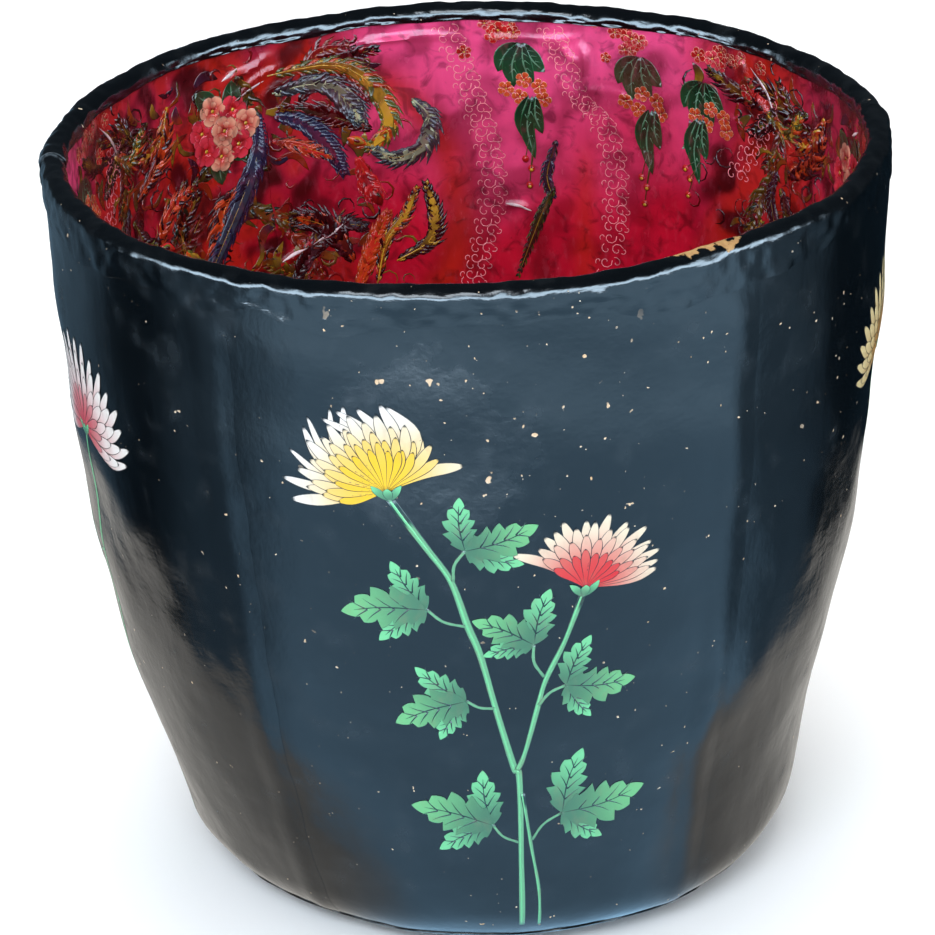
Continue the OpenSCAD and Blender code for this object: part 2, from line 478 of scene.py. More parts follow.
def make_disc():
    """The floor's paper: rings of points about the middle, closer at the step."""
    theta = np.linspace(0, TAU, 180, endpoint=False)[:, None]
    r = np.concatenate([spaced(0, FOOT_X - PANEL_TURN - 1.5 * MM, 5 * MM),
                        spaced(FOOT_X - PANEL_TURN, FOOT_X - 0.3 * MM, 2 * MM)])[None]
    r = r + unevenness(theta, WALL_L + FOOT_L + 0 * r) * r / FOOT_X
    x, y = r * np.cos(theta), r * np.sin(theta)
    back, face = (np.stack([x, y, height], -1) for height in floor_height(x, y))
    return closed_sheet("floor_disc", face, back, ring=True)


def make_binding(index, name):
    """A strip folded over the rim. Along its width, v runs from its outer edge (0) up the
    outside, over the crown (0.3 to 0.8) and down inside to its inner edge (1)."""
    theta = spaced(0, math.pi + 10 * MM / RIM_R, 2.3 * MM / RIM_R)[:, None] + index * math.pi
    past = (theta - index * math.pi - math.pi) * RIM_R
    v = np.linspace(0, 1, 34)[None]
    outside = 14 * MM + 1.6 * MM * ripple(theta, 0, 51, 0.2, 0.02, 20)
    inside = 2.2 * MM + 0.5 * MM * ripple(theta, 0, 52, 0.4, 0.03, 24)
    first, last = 0.3, 0.8
    down_inside = np.where(v > last, inside * (v - last) / (1 - last), 0)
    down = np.where(v < first, outside * (1 - v / first), down_inside)
    above = np.where((v >= first) & (v <= last), math.pi * (v - first) / (last - first), 0)
    rise = lap(past, 1, 6 * MM, BINDING_T)
    pucker = 0.22 * MM * ripple(theta, 0.06 * v, 53, 0.05, 0.008, 40)
    thick = BINDING_T + np.maximum(pucker, -0.5 * MM)
    outer = v <= last
    face = place(theta, down, np.where(outer, thick + rise, LINING_IN - thick - rise), above * outer)
    back = place(theta, down, np.where(outer, rise, LINING_IN - rise), above * outer)
    piece = closed_sheet(name, face, back)
    bevel(piece, 0.25 * MM)
    return piece


def make_cap():
    """The base's cap: rings from its ragged edge on the foot to the middle of the base,
    pressed flat where it stands."""
    start = float(down_to(9 * MM))
    downs = np.concatenate([spaced(start, WALL_L + FOOT_L, 1.5 * MM),
                            spaced(WALL_L + FOOT_L + 4 * MM, WALL_L + FOOT_L + FOOT_X, 5 * MM)])[None]
    theta = np.linspace(0, TAU, 200, endpoint=False)[:, None]
    ragged = 1.1 * MM * ripple(theta, 0, 61, 0.1, 0.02, 20) * (1 - smooth(downs, start, WALL_L + FOOT_L))
    face = place(theta, downs + ragged, CAP_T)
    back = place(theta, downs + ragged, 0.0)
    face[..., 2] = np.maximum(face[..., 2], 0)
    piece = closed_sheet("base_disc", face, back, ring=True)
    bevel(piece, 0.25 * MM)
    return piece


disc = make_disc()
bindings = [make_binding(0, "rim_strip_back"), make_binding(1, "rim_strip_front")]
cap = make_cap()
print("strip faces", [len(piece.data.polygons) for piece in bindings])

# %% [markdown]
# ## Painting with strokes
# Both the hand-painted flowers and the printed pattern are made as a painter makes them:
# stroke over stroke. A stroke is a path with a width, which swells and tapers along it. It
# becomes a small grid of points with its own colour at each, is laid on the wall a hair
# above the one before, and all strokes of a picture share one mesh.

# %% Shape the sides and the path of a stroke
def petal_side(s):
    """Narrow at the root and full at two thirds, then rounding in to the tip."""
    return (0.3 + 0.7 * smooth(s, 0, 0.7)) * (1 - np.clip((s - 0.62) / 0.38, 0, 1) ** 2) ** 0.66


SIDES = {
    "petal": petal_side,
    "lobe": lambda s: np.sin(np.pi * np.clip(s, 0, 1) ** 0.84) ** 0.95,
    "stem": lambda s: 1 + 0.10 * np.sin(21 * s),
    "line": lambda s: 1 + 0 * s,
    "taper": lambda s: (1 - s) ** 0.8,
    "spindle": lambda s: np.sin(np.pi * np.clip(s, 0, 1)) ** 0.8,
    "blob": lambda s: np.sqrt(np.clip(1 - (2 * s - 1) ** 2, 0, 1)),
}


def curve(points, s):
    """A smooth path through a few points, read at s from 0 to 1: each point's tangent is
    half the step between its neighbours, and cubic pieces join them (Catmull-Rom)."""
    p = np.asarray(points, float)
    p = np.concatenate([[2 * p[0] - p[1]], p, [2 * p[-1] - p[-2]]])
    u = s * (len(points) - 1)
    k = np.minimum(u.astype(int), len(points) - 2)
    t = (u - k)[:, None]
    a, b, c, d = p[k], p[k + 1], p[k + 2], p[k + 3]
    return 0.5 * (2 * b + (c - a) * t + (2 * a - 5 * b + 4 * c - d) * t * t
                  + (3 * b - a - 3 * c + d) * t ** 3)


print("strokes:", ", ".join(SIDES))

# %% Gather strokes into a picture
def rgb(r, g, b):
    """A colour as it looks on screen, made linear for the shader."""
    c = np.array([r, g, b]) / 255
    return np.where(c < 0.04045, c / 12.92, ((c + 0.055) / 1.055) ** 2.4)


class Picture:
    """Strokes gathered in millimetres on the flat, to be laid on the tub as one piece."""

    def __init__(self):
        self.points, self.colours, self.squares, self.lifts = [], [], [], []
        self.total, self.layer = 0, 0

    def stroke(self, path, width, shape, start, end, edge=None, rim=0.5, rows=12, teeth=0,
               rib=None, step=1.0, sharp=True):
        """Lays one stroke along a path. Its colour runs from start to end, with an edge
        line 'rim' millimetres wide, sharp or blurred, and teeth or a rib where they are
        asked for. Its half-width is the shape's curve times the width."""
        s = np.linspace(0, 1, rows)
        s = 1 - (1 - s) ** 1.5 if shape == "petal" else s
        path = curve(path, s)
        ahead = np.gradient(path, axis=0)
        ahead /= np.linalg.norm(ahead, axis=1, keepdims=True) + 1e-9
        across = np.stack([-ahead[:, 1], ahead[:, 0]], -1)
        half = width / 2 * SIDES[shape](s)
        if teeth:
            saw = 1 - ((s * teeth) % 1) ** 0.7
            half = half * (1 - 0.46 * saw * smooth(s, 0.1, 0.3))
        line = min(0.45, rim / (width / 2))
        w = 0.7 / width
        v = [-1, 1] if edge is None else [-1, -1 + line, 1 - line, 1]
        if sharp and edge is not None:
            v[2:2] = [-0.98 + line, 0.98 - line]
        half_way = len(v) // 2
        v = np.array(v if rib is None else v[:half_way] + [-1.3 * w, -w, w, 1.3 * w] + v[half_way:])
        grid = path[:, None] + across[:, None] * (half[:, None] * v[None])[..., None]
        blend = smooth(s, 0.05, 0.95)[:, None, None]
        paint = start * (1 - blend) + end * blend + 0 * v[None, :, None]
        if edge is not None:
            at_side = np.abs(v) > 1 - line - (0.005 if sharp else -0.005)
            at_tip = s > 1 - line * 0.3
            paint = np.where(at_side[None, :, None] | at_tip[:, None, None], edge, paint)
        if rib is not None:
            on_rib = (np.abs(v) <= w * 1.01)[None, :] & (s < 0.85)[:, None]
            paint = np.where(on_rib[..., None], rib, paint)
        self.points.append(grid.reshape(-1, 2))
        self.colours.append(paint.reshape(-1, 3))
        self.lifts.append(np.full(grid.shape[0] * grid.shape[1], float(self.layer)))
        self.squares.append(quads(rows, len(v)) + self.total)
        self.total += grid.shape[0] * grid.shape[1]
        self.layer += step

    def lay(self, name, where, thickness=0.05 * MM):
        """Lays the strokes on a face and gives them thickness. 'where' turns places on the
        flat and a lift into points in space."""
        flat, lifts = np.concatenate(self.points), np.concatenate(self.lifts)
        mesh = bpy.data.meshes.new(name)
        mesh.from_pydata(where(flat, lifts).tolist(), [], np.concatenate(self.squares).tolist())
        paint = mesh.color_attributes.new("paint", "FLOAT_COLOR", "POINT")
        colours = np.concatenate(self.colours)
        rgba = np.concatenate([colours, np.ones((len(colours), 1))], 1)
        paint.data.foreach_set("color", rgba.astype(np.float32).ravel())
        mesh.polygons.foreach_set("use_smooth", np.ones(len(mesh.polygons), dtype=bool))
        piece = bpy.data.objects.new(name, mesh)
        bpy.context.collection.objects.link(piece)
        body = piece.modifiers.new("thickness", "SOLIDIFY")
        body.thickness, body.offset = thickness, -1
        return piece


print("white on screen is", rgb(255, 255, 255), "in the shader")

# %% Lay a picture outside
def outside_at(middle):
    """Lays a picture on the lacquer about a direction: across is measured round the tub at
    MAP_R, and up is the height."""
    def where(flat, lifts):
        theta = middle + flat[:, 0] / MAP_R
        down = down_to(flat[:, 1] * MM)
        lift = 0.07 * MM + 0.007 * MM * lifts
        return place(theta, down, outer_face(theta, down) + lift)
    return where


print("10 layers of paint stand", 0.07 + 0.007 * 10, "mm off the lacquer")

# %% [markdown]
# ## Painted chrysanthemums
# Each flower is a fan of petals that spring from a green cup. Back petals are laid first,
# then shorter rows in front, each with a thin dark outline. Colour runs from yellow or
# red at the cup to white at the tips. A leaf is three toothed lobes with dark veins.

# %% Paint a flower
WHITE, CREAM = rgb(250, 248, 246), rgb(252, 240, 214)
YELLOW, RED = rgb(254, 208, 8), rgb(226, 38, 44)
INK, VEIN = rgb(16, 18, 22), rgb(22, 52, 48)
LEAF, OLD_LEAF = rgb(124, 226, 162), rgb(120, 208, 140)
LEAF_SHADE, STEM = rgb(74, 130, 100), rgb(116, 190, 144)


def spoke(start, angle, length, bend):
    """Three points of a petal's middle line: it leaves at an angle and turns by bend."""
    a, b = math.radians(angle), math.radians(angle + bend)
    knee = start + 0.6 * length * np.array([math.cos(a), math.sin(a)])
    return [start, knee, knee + 0.45 * length * np.array([math.cos(b), math.sin(b)])]


def flower(picture, cup, rows, heart, tip, reach):
    """Rows of petals, back to front: each row is (angles, lengths, widths, bends). The
    heart's colour fades into the tip's over 'reach' millimetres."""
    cup = np.array(cup, float)
    picture.layer = 8
    for angles, lengths, widths, bends in rows:
        order = np.argsort(-np.abs(np.array(angles) - 90))
        for k in order:
            path = spoke(cup, angles[k], lengths[k], bends[k])
            mix = float(smooth(lengths[k], reach * 0.55, reach * 1.25))
            end = heart * (1 - mix) + tip * mix
            picture.stroke(path, widths[k], "petal", heart, end, INK, 0.32, 14)


print("a petal's knee and tip:", np.round(spoke(np.zeros(2), 90, 40, 20)[1:], 1).tolist())

# %% Paint leaves, stems and cups
def leaf(picture, base, tips, joint, width=0.60):
    """Three toothed lobes from the base to the tips, with ribs and side veins, and a stalk
    back to its joint."""
    base, joint = np.array(base, float), np.array(joint, float)
    middle = (base + joint) / 2 + 0.12 * np.array([joint[1] - base[1], base[0] - joint[0]])
    picture.layer = 6
    picture.stroke([joint, middle, base], 1.7, "stem", STEM * 0.85, STEM, INK, 0.2, 10)
    tips = [np.array(t, float) for t in tips]
    for k in (0, 2, 1):
        run = tips[k] - base
        long = np.linalg.norm(run)
        normal = np.array([-run[1], run[0]]) / long
        bow = base + 0.5 * run + normal * long * (0.05 if k == 0 else -0.05)
        wide = long * width * (1.1 if k == 1 else 0.95)
        picture.stroke([base, bow, tips[k]], wide, "lobe", LEAF_SHADE, OLD_LEAF if k == 1 else LEAF,
                       LEAF_SHADE, 0.2, 41, teeth=5, rib=VEIN)
        for s in (0.2, 0.36, 0.52, 0.68):
            root = base * (1 - s) ** 2 + 2 * bow * s * (1 - s) + tips[k] * s * s
            for turn in (-1, 1):
                out = root + run * 0.2 + turn * normal * wide * 0.33 * (1 - 0.5 * s)
                vein = [root, (root + out) / 2 + run * 0.015, out]
                picture.stroke(vein, 0.75, "taper", VEIN, VEIN, rows=5)


def stem(picture, points, width, rows=30):
    """A stem, with a lighter line along its left."""
    picture.stroke(points, width, "stem", STEM, STEM * 0.92, VEIN, 0.3, rows)
    inner = [np.array(p, float) + [-0.35, 0] for p in points]
    picture.stroke(inner, width * 0.3, "stem", LEAF, LEAF, rows=rows)


def cup(picture, at_point, lean):
    """The three green scales that a flower springs from."""
    x, y = at_point
    for dx, dy, w in ((-7, 4, 3.6), (6, 5, 3.4), (0, 3, 4.2)):
        picture.stroke([(x + lean, y - 3), (x + dx * 0.6, y + dy * 0.3), (x + dx, y + dy)], w,
                       "lobe", LEAF_SHADE, LEAF, VEIN, 0.22, 12)


print("a leaf's veins:", 4 * 2 * 3)

# %% Paint the front spray
def front_spray():
    """The spray with a yellow flower and a red one. Each flower's rows list, petal by
    petal, the angles, lengths, widths and bends."""
    p = Picture()
    stem(p, [(16, 19), (15.8, 38), (15.5, 60), (14.5, 111), (12, 118), (4, 153), (-2, 182), (-7, 199),
             (-13, 222), (-22, 239), (-36.5, 264)], 3.5, 70)
    stem(p, [(13.5, 116), (16.8, 125), (23, 152), (27, 167), (35, 186), (43.5, 212)], 2.8, 40)
    stem(p, [(26, 18), (25, 42), (20.5, 70), (16, 102)], 2.1, 30)
    leaf(p, (-6.5, 238), [(-8, 265), (24, 249), (18, 229)], (-12, 222))
    leaf(p, (-24, 207), [(-38, 232), (-62, 203), (-46, 189)], (-8, 198))
    leaf(p, (21.5, 186), [(29, 215), (-5, 201), (-1, 181)], (26, 168))
    leaf(p, (36, 162.5), [(47, 188), (69, 160), (48, 143)], (23.5, 153))
    leaf(p, (-9, 157), [(-31, 176), (-42, 144), (-22, 135)], (3.5, 152.5))
    leaf(p, (1, 84), [(-3, 117), (-39, 96), (-27, 69)], (14, 72))
    leaf(p, (36, 88), [(45, 125), (79, 96), (58, 70)], (21, 73))
    flower(p, (-37.5, 268), [
        ([196, 184, 170, 158, 148, 136, 124, 112, 100, 90, 78, 62, 46, 28],
         [41, 43, 43, 45, 46, 45, 43, 42, 43, 41, 42, 46, 30, 33],
         [6.5, 5.5, 3.6, 4.6, 3.4, 3.6, 4.4, 4.4, 5.0, 5.4, 5.6, 7.0, 4.2, 6.2],
         [-8, -14, -28, -42, -34, -40, -30, 36, 40, 34, 30, 62, 30, -16]),
        ([188, 176, 165, 154, 143, 132, 121, 110, 99, 88, 77, 66, 55, 44, 34],
         [33, 37, 33, 38, 34, 37, 32, 37, 33, 36, 31, 33, 27, 29, 26],
         [5.6, 5.8, 5.4, 5.8, 5.6, 5.8, 5.6, 5.8, 5.8, 5.8, 5.2, 5.2, 4.6, 4.8, 4.6],
         [-12, -15, -14, -18, -14, -12, -4, 4, 10, 14, 17, 20, 20, 14, 4]),
        ([196, 184, 173, 162, 151, 140, 129, 118, 107, 96, 85, 74, 63, 50],
         [27, 31, 26, 31, 27, 30, 26, 30, 25, 28, 24, 26, 21, 22],
         [5.4, 5.4, 5.2, 5.4, 5.2, 5.2, 5.2, 5.2, 5.0, 5.0, 4.6, 4.6, 4.2, 4.2],
         [-14, -16, -14, -12, -10, -8, -4, 0, 4, 8, 10, 12, 16, 20]),
        ([204, 190, 178, 166, 154, 142, 130, 118, 106, 94, 82, 68],
         [21, 25, 21, 26, 21, 25, 20, 24, 20, 23, 19, 20],
         [4.8, 4.8, 4.6, 4.8, 4.6, 4.6, 4.4, 4.4, 4.2, 4.2, 4.0, 3.8],
         [-10, -10, -8, -6, -4, -2, 0, 2, 4, 6, 8, 10]),
    ], YELLOW, WHITE, 34)
    cup(p, (-37, 266), 1)
    flower(p, (44, 214), [
        ([140, 118, 104, 90, 76, 62, 48, 36, 24, 12, 0],
         [36, 32, 35, 33, 36, 34, 36, 33, 34, 32, 31],
         [5.6, 5.4, 5.4, 5.2, 5.4, 5.0, 5.2, 4.8, 4.8, 4.6, 5.2],
         [16, 10, 4, 0, -4, -6, -8, -8, -6, 2, 14]),
        ([128, 112, 98, 84, 71, 58, 45, 32, 20, 6],
         [29, 32, 30, 32, 29, 32, 29, 31, 28, 28],
         [5.6, 5.4, 5.6, 5.2, 5.4, 5.0, 5.0, 4.8, 4.8, 4.8],
         [10, 4, 0, -2, -4, -4, -4, -2, 2, 10]),
        ([134, 118, 104, 90, 77, 64, 51, 38, 25, 12],
         [24, 26, 24, 26, 24, 26, 23, 25, 22, 23],
         [5.4, 5.2, 5.2, 5.0, 5.0, 4.8, 4.6, 4.6, 4.4, 4.4],
         [8, 4, 2, 0, -2, -4, -4, -2, 0, 6]),
        ([138, 122, 106, 91, 76, 62, 48, 34, 20],
         [17, 19, 17, 19, 17, 18, 16, 17, 15],
         [4.8, 4.6, 4.6, 4.4, 4.4, 4.2, 4.0, 4.0, 3.8],
         [6, 4, 2, 0, -2, -2, -2, 0, 4]),
    ], RED, CREAM, 27)
    cup(p, (44, 212), -1)
    return p


front = front_spray().lay("front_spray", outside_at(-math.pi / 2))
print("front spray", len(front.data.polygons), "faces")

# %% Paint the sprays at the sides and the back
def fan(count, long, wide, bend):
    """A row of petals spread evenly from one side to the other, slightly uneven in length."""
    turns = [k / (count - 1) for k in range(count)]
    return ([200 - 220 * t for t in turns], [long * (1 + 0.06 * math.sin(3.1 * k)) for k in range(count)],
            [wide] * count, [bend * (t - 0.5) * 2 for t in turns])


def side_spray(lean, heart, tip, height, two_sided=False):
    """A spray with one flower at a height, for the sides and the back."""
    p = Picture()
    stem(p, [(6 * lean, 20), (5.8 * lean, 36), (5.4 * lean, 56), (5 * lean, 80), (2 * lean, 140),
             (-6 * lean, height - 50), (-17 * lean, height - 4)], 3.4, 60)
    stem(p, [(14 * lean, 19), (13.4 * lean, 34), (12 * lean, 60), (6 * lean, 96)], 2.2, 24)
    leaves = [((18, 176), [(30, 206), (54, 176), (38, 156)], (-4, 180)),
              ((26, 96), [(34, 130), (64, 100), (46, 74)], (5, 88)),
              ((-22, 150), [(-30, 182), (-58, 152), (-42, 130)], (1, 145)),
              ((-16, 82), [(-24, 116), (-54, 90), (-38, 64)], (5, 76))]
    for base, tips, joint in leaves if two_sided else leaves[:2]:
        leaf(p, (base[0] * lean, base[1]), [(x * lean, z) for x, z in tips],
             (joint[0] * lean, joint[1]))
    top = (-18 * lean, height)
    rows = [fan(17, 44, 5.4, 34), fan(15, 36, 6.2, 24), fan(13, 28, 6.0, 16), fan(11, 20, 5.0, 10)]
    flower(p, top, rows, heart, tip, 26)
    cup(p, (top[0], top[1] - 2), 0)
    return p


# name, lean, colours of the heart and the tips, height of the flower, two-sided, direction
SIDE_SPRAYS = [
    ("left_spray", -1, rgb(206, 60, 78), WHITE, 252, False, -164.5),
    ("right_spray", 1, rgb(188, 128, 34), rgb(244, 226, 168), 268, False, -6),
    ("rear_spray", 1, YELLOW, WHITE, 240, True, 72),
]
sprays = [front]
for name, lean, heart, tip, height, two_sided, direction in SIDE_SPRAYS:
    spray = side_spray(lean, heart, tip, height, two_sided)
    sprays.append(spray.lay(name, outside_at(math.radians(direction))))
print("spray faces", [len(piece.data.polygons) for piece in sprays])

# %% [markdown]
# ## The printed pattern
# The lining was printed with curling feathers and peonies, columns of fine lace scrolls
# and hanging garlands, over and over along the roll. One repeat is drawn here with the
# same strokes. It is laid three times round the wall, and again lower down.

# %% Draw a feather
GOLD, ORANGE, OLIVE = rgb(208, 160, 48), rgb(196, 66, 22), rgb(96, 100, 32)
BLUE, SLATE, PALE = rgb(30, 34, 66), rgb(52, 66, 76), rgb(176, 186, 150)
DEEP, GREEN, DARK = rgb(12, 34, 22), rgb(30, 84, 50), rgb(46, 12, 14)
PINK, BLUSH, CORAL = rgb(226, 66, 88), rgb(246, 186, 156), rgb(206, 34, 36)
LACE, SHEEN = rgb(248, 146, 158), rgb(92, 136, 110)
# The second colour here is the white of the painted highlights along the lining's folds.
FLAME, HIGHLIGHT_WHITE = rgb(205, 40, 22), rgb(236, 214, 220)


def plume(picture, path, width, back, front, fringe, eye=None, pitch=2.3):
    """A feather: long barbs that lean towards the tip, in two colours, a thin body, fine
    barbs over it and a shaft. An eye is three spindles, one within another, at the tip."""
    long = np.linalg.norm(np.diff(np.array(path, float), axis=0), axis=1).sum()
    s = np.linspace(0.03, 0.98, int(long / pitch))
    spine = curve(path, s)
    along = np.gradient(spine, axis=0)
    along /= np.linalg.norm(along, axis=1, keepdims=True)
    aside = np.stack([-along[:, 1], along[:, 0]], -1)
    reach = width * (0.3 + 0.7 * np.sin(np.pi * s ** 0.8)) * (1 + 0.16 * np.sin(2.4 * np.arange(len(s))))
    passes = ((0.86, 0.95, 0.50, 0.26, (back, back, fringe)),
              (0.66, 0.85, 0.42, 0.2, (front, back, fringe)))
    for part, lean, spread, wide, tints in passes:
        for k in range(len(s)):
            for turn in (-1, 1):
                out = spine[k] + part * reach[k] * (along[k] * lean + turn * aside[k] * spread)
                barb = [spine[k], (spine[k] + out) / 2 + turn * aside[k] * reach[k] * 0.12, out]
                tint = tints[(k + (turn > 0)) % 3]
                picture.stroke(barb, width * wide, "taper", tint, tint * 0.6, rows=3, step=0.02)
        picture.layer += 0.4
    root = back * 0.7 + fringe * 0.3
    picture.stroke(path, width * 0.52, "spindle", root, front, back, 0.9, 14, sharp=False)
    for k in range(0, len(s), 2):
        for turn in (-1, 1):
            out = spine[k] + reach[k] * (along[k] * 0.42 + turn * aside[k] * 0.2)
            picture.stroke([spine[k], out], 0.6, "taper", front, fringe, rows=2, step=0.02)
    picture.stroke(path, 0.8, "taper", front, GOLD * 0.8, rows=14)
    if eye is not None:
        for size, colour in zip((0.42, 0.3, 0.15), eye):
            reach = along[-1] * width * size
            ends = [spine[-1] - reach, spine[-1] + reach]
            picture.stroke(ends, width * size, "spindle", colour, colour)


print("feather colours:", np.round([GOLD, ORANGE, OLIVE], 2).tolist())

# %% Draw blossoms and leaves
def disc_at(picture, centre, radius, colour):
    """A round dot."""
    x, z = centre
    picture.stroke([(x - radius, z), (x, z), (x + radius, z)], 2 * radius, "blob", colour, colour, rows=7)


def blossom(picture, centre, size, heart, tip, petals, turn, edge):
    """Two rings of petals, each with an outline, and a dot in the middle."""
    x, z = centre
    for reach, count, swing in ((1.0, petals, 0.0), (0.62, petals - 2, 0.4)):
        for k in range(count):
            a = turn + swing + TAU * k / count
            far = np.array([x + reach * size * math.cos(a), z + reach * size * math.sin(a)])
            near = np.array([x, z]) + 0.15 * (far - [x, z])
            picture.stroke([near, far], size * reach * 0.85, "petal", heart, tip, edge, 0.4, 5,
                           step=0.3, sharp=False)
    disc_at(picture, centre, size * 0.12, GOLD)


def blade(picture, base, tip, width):
    """A dark pointed leaf with a green edge, a pale rib and pale side veins."""
    base, tip = np.array(base, float), np.array(tip, float)
    run = tip - base
    bow = (base + tip) / 2 + 0.1 * np.array([run[1], -run[0]])
    picture.stroke([base, bow, tip], width, "spindle", DEEP, GREEN * 0.6, GREEN, 0.5, 10, rib=SHEEN)
    normal = np.array([-run[1], run[0]]) / np.linalg.norm(run)
    for s in (0.25, 0.42, 0.6):
        root = base * (1 - s) ** 2 + 2 * bow * s * (1 - s) + tip * s * s
        for turn in (-1, 1):
            out = root + run * 0.14 + turn * normal * width * 0.36 * (1 - 0.5 * s)
            picture.stroke([root, out], 0.5, "taper", SHEEN, GREEN, rows=2, step=0.05)


print("a blossom of 5 petals takes", 5 + 3 + 1, "strokes")

# %% Draw lace and garlands
# size of a scroll, its place to the side, the angle where it starts and how far it winds
SCROLLS = [(3.8, 2.4, 0.3, 3.2), (3.0, -3.4, 2.0, 2.4), (2.0, 6.2, 4.0, 2.0)]


def lace(picture, path):
    """A column of scrolls: spirals r = a - b t that turn left and right by turns, each with
    a small curl beside it."""
    long = np.linalg.norm(np.diff(np.array(path, float), axis=0), axis=1).sum()
    middles = curve(path, np.linspace(0, 1, int(long / 4.6)))
    t = np.linspace(0, 1, 10)
    for k, middle in enumerate(middles):
        hand = 1 if k % 2 else -1
        for size, shift, start, wind in SCROLLS:
            a = start + hand * wind * math.pi / 2 * t * 1.3
            r = size * (1 - 0.82 * t)
            spot = middle + [hand * shift, 0]
            scroll = spot + np.stack([r * np.cos(a), r * np.sin(a)], -1)
            picture.stroke(scroll, 0.42, "line", LACE, LACE * 0.9, rows=10, step=0.01)


def garland(picture, path, seed):
    """A hanging spray along five points: a bunch of red blossoms, broad leaves, a few pale
    blossoms, long leaves and buds."""
    rng = np.random.default_rng(seed)
    bunch, leaves, pale_ones, tail, end = np.array(path, float)
    picture.layer = 12
    for k in range(12):
        away = rng.normal(0, 1, 2) * [7.5, 5.5]
        tip = (CORAL, PINK, CORAL * 0.7)[k % 3]
        blossom(picture, bunch + away, 2.8 + 2.2 * rng.random(), CORAL * 0.5, tip, 5, k, BLUSH)
    for dx, dz, w in ((-12, -9, 10), (12, -8, 10), (-4, -17, 10.5), (6, -15, 9)):
        blade(picture, leaves + [dx * 0.1, 7], leaves + [dx, dz], w)
    for dx, dz in ((-9, -2), (8, 0), (0, 3), (-2, -6), (10, -7)):
        tip = CORAL * 0.7 + GOLD * 0.25
        blossom(picture, pale_ones + [dx, dz], 4.4, CORAL * 0.8, tip, 5, dx, BLUSH)
    for dx, dz, w in ((-4, -24, 8), (5, -20, 8), (1, -34, 7.5)):
        blade(picture, tail + [dx * 0.4, 9], tail + [dx, dz + 8], w)
    for dx, dz in ((-2, 4), (1, -1), (0, -10)):
        picture.stroke([tail + [dx, -14], end + [dx, dz]], 0.4, "line", DEEP, OLIVE, rows=3)
        disc_at(picture, end + [dx, dz], 1.9, CORAL * 0.8)
        disc_at(picture, end + [dx, dz - 0.8], 0.9, GOLD)


print("lace: a column has", len(SCROLLS), "scrolls to each 4.6 mm")

# %% Choose the feathers
# path, width, colours of the body from root to tip, colour of the fringe, eye
FEATHERS = [
    ([(-119, 285), (-130, 275), (-142, 250)], 15, DARK, ORANGE, ORANGE, None),
    ([(-104, 322), (-106, 301), (-118, 279), (-138, 252), (-148, 240)], 14, BLUE, SLATE, BLUE, None),
    ([(-60, 232), (-72, 252), (-90, 262)], 16, DARK, ORANGE, DARK, None),
    ([(-96, 222), (-84, 240), (-66, 252), (-52, 250)], 13, DARK, SLATE, DARK, None),
    ([(-60, 215), (-50, 236), (-40, 256)], 12, ORANGE, CORAL, ORANGE, None),
    ([(-48, 218), (-42, 240), (-32, 252), (-24, 268)], 9, DARK, GOLD, ORANGE, None),
    ([(-96, 318), (-80, 310), (-68, 296), (-61, 280)], 13, BLUE, BLUE * 0.6 + CORAL * 0.2, BLUE * 0.7, None),
    ([(-98, 305), (-82, 298), (-66, 290)], 9, ORANGE, CORAL, DARK, None),
    ([(-96, 330), (-71, 330), (-57, 318), (-51, 307)], 15, SLATE * 0.6, PALE, SLATE * 0.7, None),
    ([(-98, 340), (-68, 340), (-53, 334), (-41, 320), (-37, 305), (-45, 294), (-55, 297)], 13,
     OLIVE * 0.7, GOLD, ORANGE, (ORANGE, GOLD * 0.6, CORAL * 0.2)),
    ([(-25, 316), (-17, 306), (-20, 291), (-35, 285), (-47, 293)], 13, SLATE, PALE, SLATE * 0.8, None),
    ([(-54, 288), (-50, 275), (-45, 264)], 13, CORAL, CORAL, CORAL * 0.5, (CORAL * 0.4, GREEN * 0.6, DARK)),
    ([(-37, 229), (-20, 238), (-16, 252), (-20, 270)], 11, DARK, GOLD, DARK, None),
    ([(-158, 262), (-150, 250), (-140, 236)], 13, OLIVE, ORANGE, GOLD, None),
    ([(-190, 300), (-172, 312), (-160, 330)], 14, DARK, ORANGE, ORANGE, None),
    ([(-206, 330), (-192, 322), (-182, 334)], 12, OLIVE * 0.6, GOLD, ORANGE, None),
    ([(-160, 340), (-168, 326), (-184, 318)], 12, ORANGE, GOLD, DARK, None),
    ([(-196, 292), (-186, 276), (-170, 268)], 13, DARK, OLIVE, DARK, (CORAL, OLIVE, DARK)),
    ([(-178, 268), (-166, 284), (-150, 292)], 12, ORANGE, CORAL, DARK, None),
    ([(178, 300), (174, 285), (178, 264), (172, 246)], 9, DARK, BLUE * 0.6, DARK, None),
    ([(150, 238), (160, 254), (168, 270)], 8, DARK, GOLD, OLIVE, None),
    ([(47, 293), (42, 274), (45, 262)], 8, BLUE * 0.7, DARK, DEEP, None),
    ([(46, 268), (38, 250), (26, 218)], 7, DEEP, DARK, OLIVE * 0.6, None),
]
print("feathers in a repeat:", len(FEATHERS))

